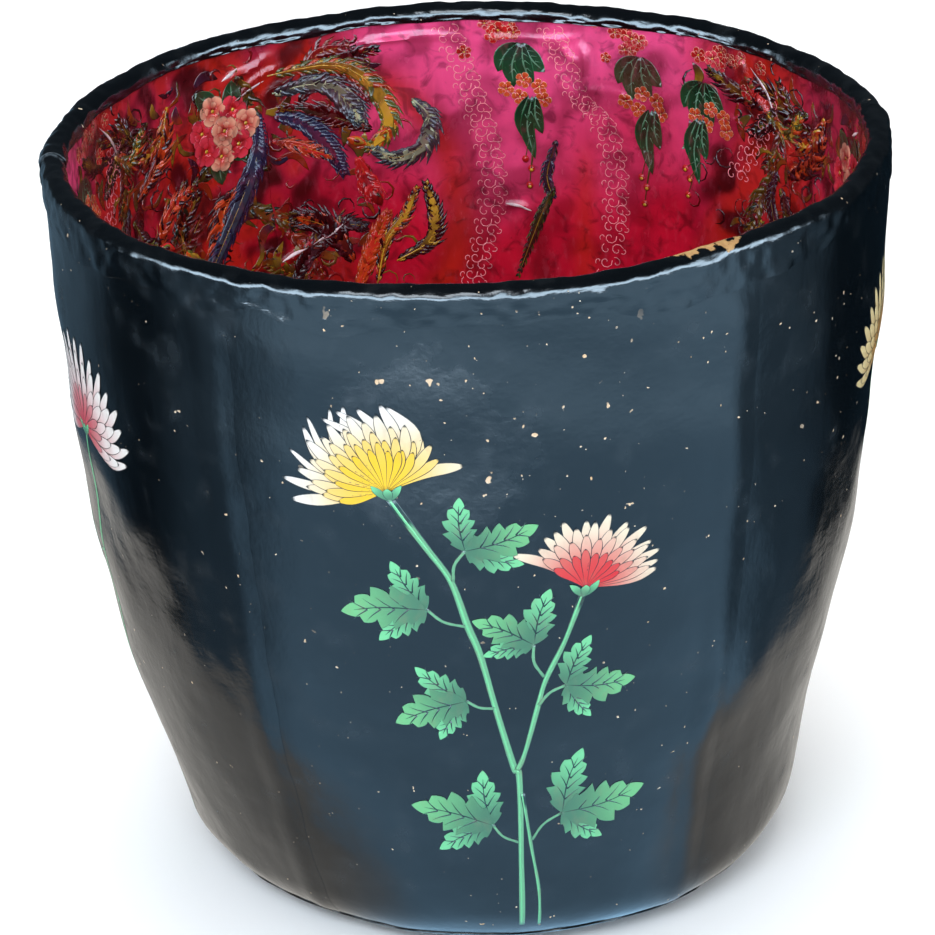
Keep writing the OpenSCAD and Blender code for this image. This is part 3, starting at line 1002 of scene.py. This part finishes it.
# %% Draw one repeat
def undergrowth(p):
    """Short dim feathers and curls that fill the ground between the bright ones."""
    rng = np.random.default_rng(7)
    tints = (ORANGE * 0.4, CORAL * 0.4, DARK, OLIVE * 0.4, DARK * 0.6, GOLD * 0.3, CORAL * 0.2, DEEP)
    for k in range(24):
        x = 166 + 14 * rng.random() if k % 6 == 0 else -208 + 168 * rng.random()
        z, a = 216 + 130 * rng.random(), rng.random() * TAU
        bend, long = rng.normal(0, 0.8), 15 + 12 * rng.random()
        mid = (x + long * math.cos(a), z + long * math.sin(a))
        tip = (mid[0] + long * math.cos(a + bend), mid[1] + long * math.sin(a + bend))
        p.layer = 1
        front, fringe = tints[(k + 3) % 8], tints[(k + 2) % 8]
        plume(p, [(x, z), mid, tip], 13, tints[k % 7] * 0.5, front, fringe, pitch=3.6)
    fills = (ORANGE * 0.55, GOLD * 0.45, OLIVE * 0.45, DARK, ORANGE * 0.4, BLUE * 0.6, CORAL * 0.35)
    for k in range(110):
        x = 120 + 68 * rng.random() if k % 6 == 5 else -205 + 160 * rng.random()
        z = 216 + 135 * rng.random()
        a, long = rng.random() * TAU, 5 + 8 * rng.random()
        path = [(x + turn * long * math.cos(a + 0.5 * turn), z + turn * long * math.sin(a + 0.5 * turn))
                for turn in (-1, 0, 1)]
        p.layer = 2
        p.stroke(path, 2.5 + 4 * rng.random(), "spindle", fills[k % 7], fills[(k + 2) % 7] * 0.8,
                 fills[(k + 3) % 7] * 0.5, 0.7, 8, sharp=False)
    p.layer = 4
    t = np.linspace(0, 1, 5)
    for k in range(150):
        right = k % 5 == 4
        x = 120 + 68 * rng.random() if right else -205 + 175 * rng.random() ** 1.25
        z, r = 214 + 140 * rng.random(), (2.5 + 6 * rng.random()) * (1 - 0.6 * t)
        a = rng.random() * TAU + (4.4 if k % 2 else -4.4) * t
        tint = tints[(2, 4, 6, 7)[k % 4] if right else k % 7]
        curl = np.stack([x + r * np.cos(a), z + r * np.sin(a)], -1)
        p.stroke(curl, 0.6 + 1.4 * rng.random(), "spindle", tint, tint * 0.8, rows=7, step=0.02)


# across, height and width of the leaves round the bunch of peonies, from its middle
BUNCH = np.array([-125, 317])
BUNCH_LEAVES = [(-16, 24, 12), (6, 26, 11), (14, 12, 9), (-20, 6, 9), (-4, -28, 11), (12, -18, 9)]
PEONIES = [(-14, 2), (-6, 12), (6, 10), (13, 1), (8, -9), (-3, -13), (-12, -8), (0, 0)]
# Painted highlights: short white strokes along the lining's folds, given as across and height.
FOLD_HIGHLIGHTS = [
    [(20, 258), (27, 257), (34, 254)], [(-100, 240), (-92, 243), (-84, 244.5)],
    [(-82, 245.5), (-72, 249), (-62, 254)], [(-124, 343), (-114, 348)], [(-118, 331), (-100, 338)],
    [(158, 350), (170, 338), (176, 322)],
]


def repeat(rich):
    """One repeat of the print, with painted highlights along the folds. A rich one has the undergrowth and
    finer feathers.
    """
    p = Picture()
    if rich:
        undergrowth(p)
    p.layer = 6
    lace(p, [(-6, 352), (2, 327), (8, 306), (13, 286), (14, 262), (9, 237), (2, 215)])
    lace(p, [(46, 352), (52, 336), (60, 317), (71, 305), (77, 286), (79, 265), (78, 244), (73, 215)])
    lace(p, [(172, 334), (168, 320), (158, 305), (150, 290)])
    for k, (path, width, back, front, fringe, eye) in enumerate(FEATHERS):
        p.layer = 8 + 2.5 * k
        plume(p, path, width, back, front, fringe, eye, 2.3 if rich else 3.1)
    for dx, dz, w in BUNCH_LEAVES:
        blade(p, BUNCH + 0.3 * np.array([dx, dz]), BUNCH + [dx, dz], w)
    for k, away in enumerate(PEONIES):
        blossom(p, BUNCH + away, 8.5, CORAL, BLUSH if k % 2 else PINK, 6, k, CORAL * 0.3)
    garland(p, [(22, 350), (30, 338), (31, 322), (35, 308), (33, 278)], 1)
    garland(p, [(86, 350), (92, 336), (93, 320), (98, 306), (95, 274)], 2)
    garland(p, [(140, 350), (128, 328), (132, 318), (126, 306), (120, 283)], 3)
    # Painted highlights: white strokes laid over the folds, where the creases would catch the light.
    p.layer = 40
    for highlight in FOLD_HIGHLIGHTS:
        p.stroke(highlight, 1.5, "spindle", HIGHLIGHT_WHITE, HIGHLIGHT_WHITE, rows=10)
    return p


upper, lower = repeat(True), repeat(False)
print("points in a rich and in a plain repeat:", upper.total, lower.total)

# %% Lay the print on the lining
REPEATS, REPEAT_LEFT, LOWER_TIER = 3, -205, 142


def inside_at(turn, drop):
    """Lays a picture on the lining: across is measured round to the right from the back's
    middle, plus a turn, and up is the height, less a drop."""
    def where(flat, lifts):
        theta = at(flat[:, 0]) + turn
        down = down_to((flat[:, 1] - drop) * MM)
        return place(theta, down, inner_face(theta, down) - 0.05 * MM - 0.006 * MM * lifts)
    return where


def floor_repeat():
    """The feathers of the repeat that fit on the floor, between two columns of lace."""
    p = Picture()
    lace(p, [(-76, 56), (-66, 20), (-80, -20), (-70, -58)])
    lace(p, [(60, 76), (50, 30), (62, -20), (48, -80)])
    garland(p, [(4, 88), (12, 76), (13, 60), (17, 46), (15, 18)], 4)
    middle = np.array([-62, 285])
    for k, (path, *finish) in enumerate(FEATHERS):
        path = np.array(path) - middle
        if np.hypot(*path.T).max() < 0.8 * FOOT_X / MM:
            p.layer = 12 + 2 * k
            plume(p, path, *finish, 3.1)
    return p


def on_floor(flat, lifts):
    """Lays a picture on the floor, seen from above."""
    x, y = flat.T * MM
    return np.stack([x, y, floor_height(x, y)[1] + 0.05 * MM + 0.006 * MM * lifts], -1)


prints = []
for k in range(REPEATS):
    prints.append(upper.lay(f"print_{k + 1}", inside_at(TAU * k / REPEATS, 0)))
for k in range(REPEATS):
    prints.append(lower.lay(f"print_{k + 4}", inside_at(TAU * (k + 0.5) / REPEATS, LOWER_TIER)))
prints.append(floor_repeat().lay("print_7", on_floor))
print("print faces", [len(piece.data.polygons) for piece in prints])

# %% [markdown]
# ## Shader maths as expressions
# A material's pattern is arithmetic on positions and noise. One small class wraps a node's
# output, so that the arithmetic can be written as it is said, and one method adds any
# other node. Constants go straight onto the shader's own sockets.

# %% Wrap a socket and a node tree
class Wire:
    """A node's output. Arithmetic on it adds Math nodes."""

    def __init__(self, nodes, socket):
        self.nodes, self.socket = nodes, socket

    def math(self, operation, *values):
        """A Math node with these values."""
        return self.nodes.add("ShaderNodeMath", {"operation": operation}, dict(enumerate(values)))

    def __add__(self, other):
        return self.math("ADD", self, other)

    def __sub__(self, other):
        return self.math("SUBTRACT", self, other)

    def __rsub__(self, other):
        return self.math("SUBTRACT", other, self)

    def __mul__(self, other):
        return self.math("MULTIPLY", self, other)

    def __truediv__(self, other):
        return self.math("DIVIDE", self, other)

    def __pow__(self, other):
        return self.math("POWER", self, other)

    __radd__, __rmul__ = __add__, __mul__


class Nodes:
    """A node tree, the one way to add nodes to it, and patterns made with them."""

    def __init__(self, tree, coordinates="Object"):
        self.tree = tree
        self.here = self.add("ShaderNodeTexCoord", {}, {}, coordinates)

    def plug(self, socket, value):
        """Links a wire to a socket, or sets the socket's own value."""
        if isinstance(value, Wire):
            self.tree.links.new(value.socket, socket)
        else:
            socket.default_value = value

    def add(self, kind, settings, values, output=0):
        """Adds a node: its settings first, then what its sockets are given."""
        node = self.tree.nodes.new(kind)
        for key, value in settings.items():
            setattr(node, key, value)
        for key, value in values.items():
            self.plug(node.inputs[key], value)
        return Wire(self, node.outputs[output])

    def axes(self, vector):
        """The three numbers of a vector."""
        first = self.add("ShaderNodeSeparateXYZ", {}, {0: vector})
        return [Wire(self, socket) for socket in first.socket.node.outputs]

    def noise(self, scale, detail=3.0, stretch=(1, 1, 1), shift=(0, 0, 0), distortion=0.0):
        """Noise on the piece's own coordinates, stretched along an axis where asked."""
        spot = self.add("ShaderNodeMapping", {}, {"Vector": self.here, "Scale": stretch, "Location": shift})
        return self.add("ShaderNodeTexNoise", {}, {
            "Vector": spot, "Scale": scale, "Detail": detail, "Distortion": distortion})

    def step(self, value, low, high):
        """A smooth step from 0 at low to 1 at high."""
        return self.add("ShaderNodeMapRange", {"interpolation_type": "SMOOTHSTEP"}, {
            "Value": value, "From Min": low, "From Max": high})

    def mix(self, factor, a, b, blend="MIX"):
        """A colour between two, by a factor."""
        return self.add("ShaderNodeMix", {"data_type": "RGBA", "blend_type": blend},
                        {0: factor, 6: a, 7: b}, 2)

    def near(self, point, radius):
        """1 at a point, falling to 0 at a radius."""
        gap = self.add("ShaderNodeVectorMath", {"operation": "DISTANCE"}, {0: self.here, 1: point}, 1)
        return self.step(gap, radius, 0.0)


print("a wire understands: + - * / **")

# %% Wrap a material
class Finish(Nodes):
    """A material, with the constants of its shader."""

    def __init__(self, name, **constants):
        self.material = bpy.data.materials.new(name)
        self.material.use_nodes = True
        super().__init__(self.material.node_tree)
        self.shader = self.tree.nodes["Principled BSDF"]
        for key, value in constants.items():
            self.plug(self.shader.inputs[key.replace("_", " ")], value)

    def drive(self, socket, value):
        """Feeds one of the shader's sockets."""
        self.plug(self.shader.inputs[socket], value)

    def bump(self, height, distance, strength=1.0):
        """Turns a height into the shader's normal."""
        self.drive("Normal", self.add("ShaderNodeBump", {}, {
            "Height": height, "Distance": distance, "Strength": strength}))

    def dress(self, *pieces):
        """Gives the pieces this material and no other."""
        for piece in pieces:
            piece.data.materials.clear()
            piece.data.materials.append(self.material)


def shade(r, g, b):
    """A screen colour as a shader's colour."""
    return (*rgb(r, g, b).tolist(), 1)


print("tan for the shader:", [round(c, 3) for c in shade(196, 150, 92)])

# %% [markdown]
# ## Finishes
# Black lacquer is a thin glossy skin on dark paper. What is seen on it is mostly reflected
# room, broken by brush drag, dust and old knocks that show the tan paper. The lining has
# a thinner coat over printed colour, and the paint on the flowers lies under a last coat.

# %% Mix the lacquer
def lacquer(name, worn):
    """Near-black, with dust, tan chips that are thicker near the front's top and the right,
    and relief from brush drag. The rim's is also rubbed through in one place, and puckered."""
    f = Finish(name, IOR=1.52)
    broad = f.noise(9, 4)
    drag = f.noise(70, 4, (1, 1, 0.35))
    fine = f.noise(420, 3)
    dust = f.step(f.noise(55, 5, shift=(3, 1, 7)), 0.50, 0.78)
    hair = f.noise(330, 3, (1, 1, 0.12), shift=(6, 6, 1))
    across = f.noise(210, 4, (0.3, 0.3, 1.6), shift=(1, 9, 5))
    colour = f.mix(broad, (0.0006, 0.0012, 0.002, 1), (0.0025, 0.004, 0.0055, 1))
    colour = f.mix(dust * 0.18, colour, shade(46, 52, 56))
    specks = f.step(f.noise(330, 1.5, shift=(5, 2, 0)), 0.735, 0.765)
    zone = f.near((0.0, -0.19, 0.30), 0.16) * 0.9 + f.near((0.15, -0.10, 0.27), 0.10) * 0.6 + 0.16
    gate = f.step(f.noise(36, 2, shift=(9, 4, 2)) + zone * 0.22, 0.56, 0.62)
    flakes = f.step(f.noise(120, 2, shift=(1, 8, 3)), 0.725, 0.745) * f.step(zone, 0.5, 0.8)
    chips = (specks * gate).math("MAXIMUM", specks * gate, flakes)
    chip_colour = f.mix(f.noise(60, 1), shade(196, 150, 92), shade(214, 206, 190))
    colour = f.mix(chips, colour, chip_colour)
    worn_dull = f.step(f.near((-0.02, -0.20, 0.285), 0.075) + f.noise(60, 5, shift=(4, 4, 4)), 0.72, 1.0)
    rough = 0.06 + broad * 0.06 + drag * 0.07 + hair * 0.07 + dust * 0.16 + worn_dull * 0.2 + chips * 0.5
    if worn:
        patch = f.near((0.106, -0.155, 0.365), 0.028) + f.near((0.090, -0.166, 0.367), 0.016)
        ragged = f.step(patch * 0.45 + f.noise(170, 5) * 0.9, 0.78, 0.84) * f.step(patch, 0.05, 0.3)
        colour = f.mix(ragged, colour, f.mix(f.noise(300, 2), shade(120, 82, 44), shade(196, 156, 100)))
        rough = rough + ragged * 0.4
    f.drive("Base Color", colour)
    f.drive("Roughness", rough)
    grit = f.noise(170, 5, shift=(2, 6, 4))
    relief = drag * 0.5 + fine * 0.2 + grit * 0.4 + broad * 0.6 + hair * 0.12 + across * 0.16 - chips * 0.6
    relief = relief + worn_dull * grit * 1.2
    if worn:
        relief = relief + f.noise(48, 4, (1, 1, 2.5), distortion=0.8) * 1.2
    f.bump(relief, 0.6 * MM, 0.55)
    return f


lacquer("black_lacquer", False).dress(*covers, cap)
lacquer("rim_lacquer", True).dress(*bindings)
print("lacquered pieces:", len(covers) + 1 + len(bindings))

# %% Mix the print, the paint and the pulp
def printed():
    """Ink stored at the points, stained in blotches, darkened by grime and by painted shade near the left
    and right walls, rubbed along its fibres, and glossy.
    """
    f = Finish("lining_print", IOR=1.42)
    ink = f.add("ShaderNodeAttribute", {"attribute_name": "paint"}, {})
    fibre = f.noise(260, 4, (1, 1, 0.5))
    blotch = f.noise(26, 5, distortion=0.6)
    grime = f.noise(95, 5, shift=(2, 7, 1), distortion=1.2)
    # Painted shade: the lining is darkened near the left and right walls, and this is added to the grime's
    # mask below.
    sides = f.near((-0.20, 0.02, 0.33), 0.20) + f.near((0.20, 0.02, 0.33), 0.16)
    colour = f.mix(f.step(blotch, 0.42, 0.75) * 0.5, ink, shade(84, 4, 18))
    colour = f.mix(f.step(grime + sides * 0.12, 0.50, 0.72) * 0.55, colour, shade(44, 6, 10))
    colour = f.mix(f.step(fibre, 0.5, 0.9) * 0.14, colour, shade(240, 110, 140))
    f.drive("Base Color", colour)
    f.drive("Roughness", 0.14 + blotch * 0.16 + fibre * 0.06)
    f.bump(fibre * 0.4 + f.noise(90, 3) * 0.9, 0.5 * MM, 0.6)
    return f


def brushed():
    """Flower paint stored at the points, streaked and yellowed in places."""
    f = Finish("flower_paint", IOR=1.5)
    paint = f.add("ShaderNodeAttribute", {"attribute_name": "paint"}, {})
    streak = f.noise(240, 3, (1, 1, 0.6))
    aged = f.mix(f.step(streak, 0.48, 0.8) * 0.2, paint, shade(150, 140, 110))
    f.drive("Base Color", f.mix(1.0, aged, (0.73, 0.73, 0.73, 1), "MULTIPLY"))
    f.drive("Roughness", 0.24 + streak * 0.18)
    f.bump(streak, 0.15 * MM, 0.5)
    return f


def bare():
    """Raw grey-tan pulp, matt and grainy."""
    f = Finish("bare_pulp")
    pulp = f.noise(180, 5)
    f.drive("Base Color", f.mix(pulp, shade(150, 120, 80), shade(205, 180, 138)))
    f.drive("Roughness", 0.78 + pulp * 0.18)
    f.bump(pulp + f.noise(700, 2) * 0.4, 0.5 * MM)
    return f


brushed().dress(*sprays)
bare().dress(core)
printed().dress(*panels, disc, *prints)
print("materials", [m.name for m in bpy.data.materials])

# %% [markdown]
# ## The printed ground
# The paper was printed in magenta that turns crimson and orange-red in broad rings and
# bands. On top of that it is painted lighter pink near the rim and darker lower down, which
# is painted shade. These soft changes are stored at the points of the panels.

# %% Colour the paper
HOT_PINK, MAGENTA, CRIMSON = rgb(246, 84, 146), rgb(198, 18, 48), rgb(104, 6, 14)
MAROON = rgb(48, 6, 10)


def ground(theta, down):
    """The paper's colour: pink near the rim that deepens to crimson lower down, which is painted
    shade, and printed mottling with maroon between the feathers and orange-red in a ring round them."""
    x = (across_at(theta) - REPEAT_LEFT) % (TAU * MAP_R / REPEATS) + REPEAT_LEFT
    z = HEIGHT / MM - down / MM
    slow = ripple(theta, down, 71, 0.2, 0.05)
    quick = ripple(theta, down, 72, 0.06, 0.014, 60)
    feathered = np.clip(smooth(-x, 20, 100) + smooth(x, 105, 150), 0, 1)
    # Painted shade: the paper is lighter pink near the rim and darker lower down, as light falls off into
    # the tub.
    height = (smooth(z + 10 * slow, 240, 350) * (1 - 0.65 * feathered))[..., None]
    paper = MAGENTA * (1 - height) + HOT_PINK * height
    deep = smooth(quick + slow * 0.5, -0.4, 1.4) * 0.5 + feathered * 0.55
    # Painted shade: more crimson below about 215 to 255 mm.
    deep = np.clip(deep + smooth(-z, -255, -215) * 0.25, 0, 1)[..., None]
    paper = paper * (1 - deep) + CRIMSON * deep
    ring = np.hypot((x + 76) / 72, (z - 262) / 82)
    glow = np.exp(-(((ring - 1) / 0.12) ** 2)) * 0.8
    column = np.exp(-(((x - 62) / 6) ** 2)) * 0.6 * smooth(-z, -310, -280)
    among = feathered * smooth(slow - 0.5 * quick, -0.6, 1.0) * 0.75
    warm = np.clip(glow + column + among, 0, 1)[..., None]
    paper = paper * (1 - warm) + FLAME * 0.8 * warm
    blots = (smooth(quick - 0.3 * slow, 0.1, 1.2) * feathered * 0.8)[..., None]
    return paper * (1 - blots) + MAROON * blots


def wall_ground(x, y, z):
    """The panels' colour at points in space."""
    return ground(np.arctan2(y, x), down_to(z))


def floor_ground(x, y, z):
    """The disc's colour: crimson and maroon mottling on the flat."""
    deep = smooth(ripple(x / RIM_R, y, 73, 0.10, 0.016, 60), -1.2, 1.6)[:, None]
    return MAGENTA * (1 - deep) + CRIMSON * deep


def colour_points(piece, paint):
    """Stores a colour at each point of a piece, worked out from where the point is."""
    mesh = piece.data
    spot = np.empty(3 * len(mesh.vertices), dtype=np.float32)
    mesh.vertices.foreach_get("co", spot)
    colours = paint(*spot.reshape(-1, 3).T)
    layer = mesh.color_attributes.new("paint", "FLOAT_COLOR", "POINT")
    rgba = np.concatenate([colours, np.ones((len(colours), 1))], 1)
    layer.data.foreach_set("color", rgba.astype(np.float32).ravel())


for piece in panels:
    colour_points(piece, wall_ground)
colour_points(disc, floor_ground)
print("printed ground on", len(panels) + 1, "pieces")

# %% [markdown]
# ## Floor and light
# The tub stands on a pale floor in soft studio light. Black lacquer is lit by what it
# mirrors, and its walls lean so that they mirror the floor. So cards are laid round it, out
# of sight: here the floor answers mirror rays as if a bright blue-grey card lay in front,
# pale cards close by at the sides, and dark cloth beyond. The sky has a bright band low
# down in front, again for mirror rays only, which draws the light line along the rim.

# %% Lay the floor
floor_mesh = bpy.data.meshes.new("floor")
floor_mesh.from_pydata([(-6, -6, 0), (6, -6, 0), (6, 6, 0), (-6, 6, 0)], [], [(0, 1, 2, 3)])
floor = bpy.data.objects.new("floor", floor_mesh)
bpy.context.collection.objects.link(floor)
pale = Finish("pale_floor", Roughness=0.9)
pale.drive("Base Color", pale.mix(pale.noise(3, 2), (0.93, 0.93, 0.93, 1), (0.96, 0.96, 0.96, 1)))
x_of, y_of, _ = pale.axes(pale.here)
far = (x_of * x_of + y_of * y_of) ** 0.5
turn = x_of.math("ARCTAN2", x_of, y_of * -1.0)
wide = turn.math("ABSOLUTE", turn - 0.14)
grain = pale.noise(5, 4, distortion=1.0)
edge = wide + (grain - 0.5) * 0.2
in_front = pale.step(edge, 1.25, 0.88) * 0.8 + pale.step(edge, 1.75, 1.3) * 0.2
in_front = in_front + pale.step(turn, -1.7, -2.1) * 0.1
beside = pale.step(far - wide * 0.17 + (grain - 0.5) * 0.12, 0.115, 0.065)
blue_card = pale.mix(pale.step(far, 0.5, 1.05), (0.62, 1.12, 1.62, 1), (1.15, 1.9, 2.6, 1))
mirrored = pale.mix(in_front, (0.006, 0.014, 0.022, 1), blue_card)
mirrored = pale.mix(beside * pale.step(wide, 0.3, 0.8), mirrored, (0.68, 0.66, 0.62, 1))
glow = pale.add("ShaderNodeEmission", {}, {"Color": mirrored})
seen_in_gloss = pale.add("ShaderNodeLightPath", {}, {}, "Is Glossy Ray")
plain = Wire(pale, pale.shader.outputs[0])
choice = pale.add("ShaderNodeMixShader", {}, {0: seen_in_gloss, 1: plain, 2: glow})
pale.plug(pale.tree.nodes["Material Output"].inputs["Surface"], choice)
pale.dress(floor)
print("nodes in the floor's material:", len(pale.tree.nodes))

# %% Light the studio
world = bpy.data.worlds.new("studio")
bpy.context.scene.world = world
world.use_nodes = True
sky = Nodes(world.node_tree, "Generated")
_, ahead_of, above_of = sky.axes(sky.here)
band = sky.step(ahead_of, 0.15, -0.3) * sky.step(above_of, -0.02, 0.06) * sky.step(above_of, 0.50, 0.25)
in_gloss = sky.add("ShaderNodeLightPath", {}, {}, "Is Glossy Ray")
backdrop = sky.tree.nodes["Background"]
sky.plug(backdrop.inputs["Strength"], in_gloss * (0.04 + band * 18) + (1.0 - in_gloss))
sky.plug(backdrop.inputs["Color"], sky.mix(in_gloss, (1, 1, 1, 1), (0.62, 0.82, 1.0, 1)))


def softbox(name, spot, aim, size, power, colour=(1, 1, 1)):
    """A square lamp at a place, facing a point."""
    lamp = bpy.data.lights.new(name, "AREA")
    lamp.shape, lamp.size, lamp.size_y = "RECTANGLE", *size
    lamp.energy, lamp.color = power, colour
    holder = bpy.data.objects.new(name, lamp)
    line = Vector(aim) - Vector(spot)
    holder.matrix_world = Matrix.Translation(spot) @ line.to_track_quat("-Z", "Y").to_matrix().to_4x4()
    bpy.context.collection.objects.link(holder)
    return holder


overhead = softbox("overhead", (0.1, 0.5, 2.4), (0, 0, 0.3), (1.6, 1.0), 22)
overhead.visible_glossy = False
softbox("window", (-0.5, -2.0, 2.0), (0, 0, 0.3), (1.5, 0.8), 42, (0.80, 0.90, 1))
print("lamps:", [lamp.name for lamp in bpy.data.lights])

# %% [markdown]
# ## Tie the pieces to the part
# Nothing on the tub moves, so every piece rides on the one body. Each names the CAD
# solids that it stands for, and these are hidden.

# %% Ride and replace
def settle(piece, slot, *nodes):
    """Ties a piece to the body and to the solids it stands for. The slot is not used."""
    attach(piece, "root")
    if nodes:
        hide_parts(*nodes)


settle(core, "pulp", "core_shell")
settle(cap, "lacquer", "base_cap")
settle(disc, "printed_paper", "floor_lining")
settle(bindings[0], "lacquer", "rim_binding_back")
settle(bindings[1], "lacquer", "rim_binding_front")
for index, piece in enumerate(covers):
    settle(piece, "lacquer", f"cover_sheet_{index + 1}")
for index, piece in enumerate(panels):
    settle(piece, "printed_paper", f"lining_panel_{index + 1}")
for piece in sprays:
    settle(piece, "lacquer")
for piece in prints:
    settle(piece, "printed_paper")
